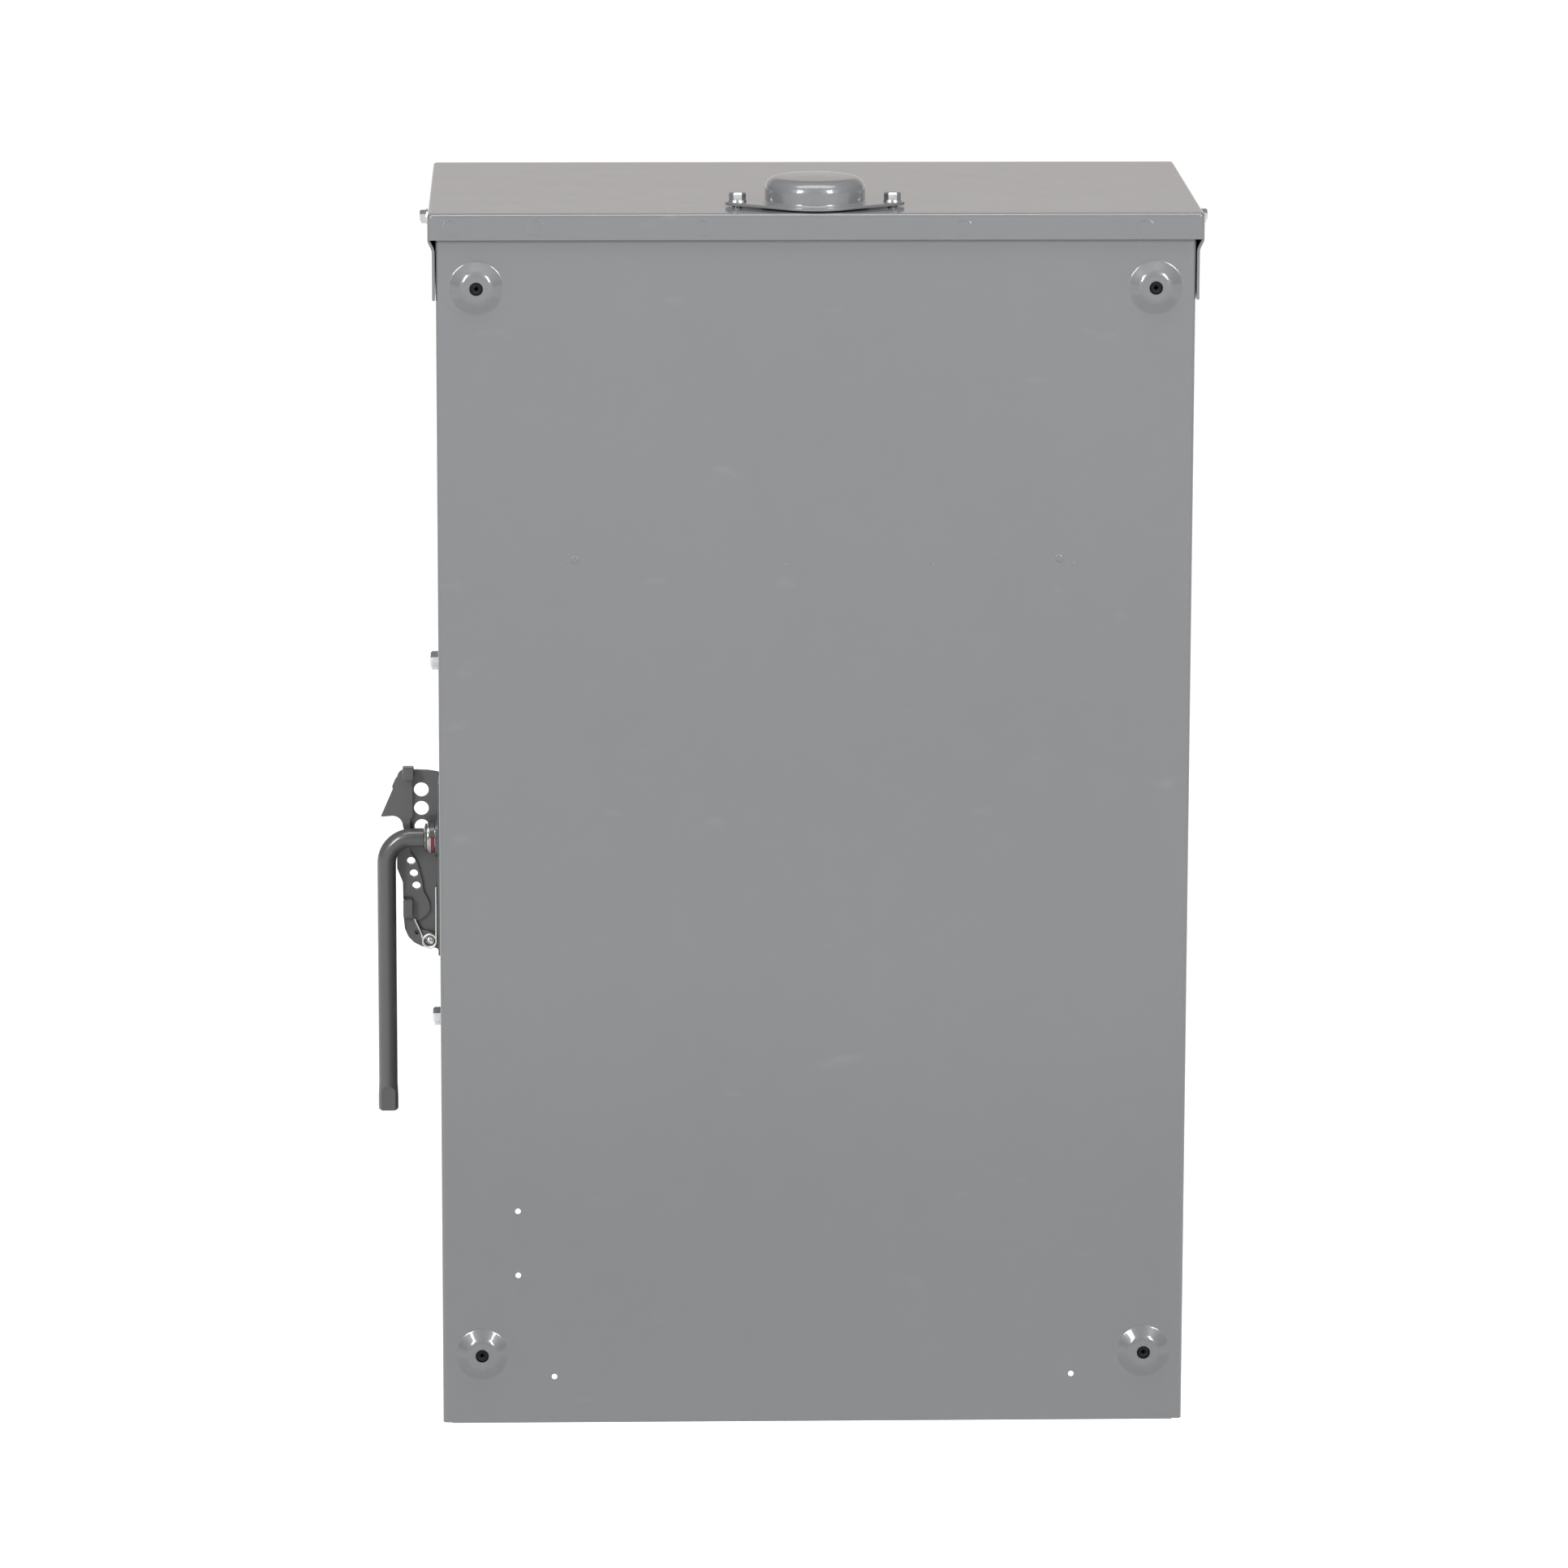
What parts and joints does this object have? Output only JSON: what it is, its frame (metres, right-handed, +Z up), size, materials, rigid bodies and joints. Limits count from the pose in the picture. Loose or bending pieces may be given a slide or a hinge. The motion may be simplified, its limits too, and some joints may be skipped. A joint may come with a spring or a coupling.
{
  "type": "safety switch enclosure",
  "caption": "Outdoor wall cabinet with a drip hood, capped hub opening, four mounting bosses, hinged door, side throw handle with a spring lock lever and a knife-blade switch inside.",
  "frame": {"origin": "centre of the four wall-mounting holes, on the wall plane that the bosses stand on", "axes": "+Y into the wall, -Y out of the door, +X towards the handle side, +Z up"},
  "size_m": [0.551, 0.269, 0.8417],
  "materials": {
    "grey_paint": "satin baked enamel",
    "dark_grey_paint": "satin",
    "zinc_plate": "bright zinc",
    "galvanized_steel": "satin zinc",
    "rubber": "matte",
    "copper": "satin",
    "aluminium": "satin",
    "insulator": "moulded",
    "arc_board": "fibre board",
    "red_plastic": "gloss",
    "white_plastic": "nylon"
  },
  "bodies": {
    "case": {"body_shell": "grey_paint", "bottom_wall": "grey_paint", "rain_hood": "grey_paint", "hub_cap": "grey_paint", "hub_gasket": "rubber", "hub_screw_right": "zinc_plate", "hub_screw_left": "zinc_plate", "hood_screw_right": "zinc_plate", "hood_screw_left": "zinc_plate", "grommet_upper_right": "rubber", "grommet_upper_left": "rubber", "grommet_lower_right": "rubber", "grommet_lower_left": "rubber", "hinge_leaf_upper": "grey_paint", "hinge_leaf_lower": "grey_paint", "hinge_pin_upper": "zinc_plate", "hinge_pin_lower": "zinc_plate", "handle_base": "dark_grey_paint", "lock_rivet": "zinc_plate", "lock_spring": "zinc_plate", "side_bolt_upper": "zinc_plate", "side_bolt_lower": "zinc_plate", "position_indicator": "red_plastic", "mechanism_frame": "galvanized_steel", "drive_spring": "zinc_plate", "crossbar_bearing": "galvanized_steel", "back_pan": "galvanized_steel", "line_base": "insulator", "load_base": "insulator", "ground_bar": "aluminium", "neutral_insulator": "insulator", "neutral_bar": "aluminium", "line_terminal_1": "copper", "load_terminal_1": "copper", "line_lug_1": "aluminium", "load_lug_1": "aluminium", "arc_chute_1": "arc_board", "line_terminal_2": "copper", "load_terminal_2": "copper", "line_lug_2": "aluminium", "load_lug_2": "aluminium", "arc_chute_2": "arc_board", "line_terminal_3": "copper", "load_terminal_3": "copper", "line_lug_3": "aluminium", "load_lug_3": "aluminium", "arc_chute_3": "arc_board"},
    "door": {"door": "grey_paint"},
    "handle": {"handle_rod": "dark_grey_paint", "drive_shaft": "zinc_plate", "hub_washer": "zinc_plate", "drive_crank": "galvanized_steel"},
    "rotor": {"crossbar": "insulator", "blade_1": "copper", "blade_2": "copper", "blade_3": "copper"},
    "lever": {"lock_lever": "dark_grey_paint"},
    "screw_upper": {"door_screw_upper": "zinc_plate"},
    "screw_lower": {"door_screw_lower": "zinc_plate"}
  },
  "joints": [
    {"name": "handle_throw", "type": "hinge", "parent": "case", "child": "handle", "pos_m": [0.24765, -0.1355, -0.0338], "axis": [-1, 0, 0], "range_deg": [0, 116]},
    {"name": "rotor_turn", "type": "hinge", "parent": "case", "child": "rotor", "pos_m": [0, -0.1355, -0.0338], "axis": [-1, 0, 0], "range_deg": [0, 58]},
    {"name": "lever_press", "type": "hinge", "parent": "case", "child": "lever", "pos_m": [0.25665, -0.1446, -0.1065], "axis": [0, -1, 0], "range_deg": [0, 7], "stiffness_Nm_per_rad": 0.9, "springref_deg": -20.05, "deforming": ["lock_spring"]},
    {"name": "door_swing", "type": "hinge", "parent": "case", "child": "door", "pos_m": [-0.2545, -0.226, 0], "axis": [0, 0, -1], "range_deg": [0, 115]},
    {"name": "door_screw_upper_turn", "type": "hinge", "parent": "door", "child": "screw_upper", "pos_m": [0.23665, -0.25, 0.258], "axis": [0, -1, 0], "continuous": true},
    {"name": "door_screw_lower_turn", "type": "hinge", "parent": "door", "child": "screw_lower", "pos_m": [0.23665, -0.25, -0.2827], "axis": [0, -1, 0], "continuous": true}
  ],
  "couplings": [
    {"joint": "rotor_turn", "follows": "handle_throw", "ratio": 0.5}
  ]
}
